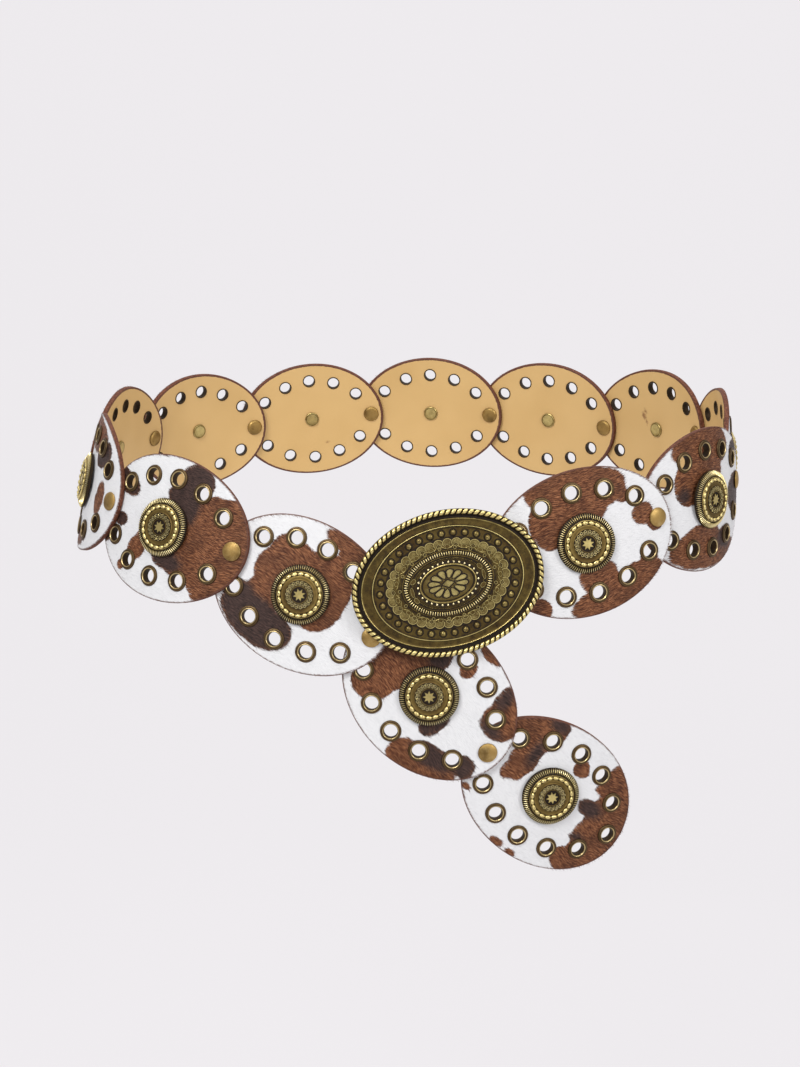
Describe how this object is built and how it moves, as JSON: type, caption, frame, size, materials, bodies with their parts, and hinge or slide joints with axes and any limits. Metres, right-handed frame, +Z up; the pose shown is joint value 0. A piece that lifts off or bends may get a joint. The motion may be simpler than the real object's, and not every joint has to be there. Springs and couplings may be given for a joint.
{
  "type": "concho belt",
  "caption": "Chain belt of oval hair-on leather discs joined by rivets, each with a ring of eyelets and a domed metal concho, closed in front by an oval engraved buckle, with a hanging tail.",
  "frame": {"origin": "the middle of the waist inside the fastened loop, at the height of the loop's body line in front, where a body holds the belt up", "axes": "+Z up, the wearer's front and the buckle towards -Y, +X towards the side where the tail hangs, which is the right of the picture"},
  "size_m": [0.325, 0.2504, 0.2152],
  "materials": {
    "leather": "hair-on face in brown and white patches, smooth tan back, dark brown edge",
    "concho": "antique brass, dark in the recesses",
    "rivet": "antique brass, dull",
    "buckle": "antique brass, dark in the recesses and bright on the rope edge",
    "eyelet": "antique bronze, dull"
  },
  "bodies": {
    "root": {"buckle": "buckle", "disc_01": "leather", "disc_02": "leather", "disc_03": "leather", "disc_04": "leather", "disc_05": "leather", "disc_06": "leather", "disc_07": "leather", "disc_08": "leather", "disc_09": "leather", "disc_10": "leather", "disc_11": "leather", "disc_12": "leather", "disc_13": "leather", "disc_14": "leather", "concho_01": "concho", "concho_02": "concho", "concho_03": "concho", "concho_04": "concho", "concho_05": "concho", "concho_06": "concho", "concho_07": "concho", "concho_08": "concho", "concho_09": "concho", "concho_10": "concho", "concho_11": "concho", "concho_12": "concho", "concho_13": "concho", "concho_14": "concho", "rivet_01": "rivet", "rivet_02": "rivet", "rivet_03": "rivet", "rivet_04": "rivet", "rivet_05": "rivet", "rivet_06": "rivet", "rivet_07": "rivet", "rivet_08": "rivet", "rivet_09": "rivet", "rivet_10": "rivet", "rivet_11": "rivet", "rivet_12": "rivet", "rivet_13": "rivet"}
  },
  "joints": []
}
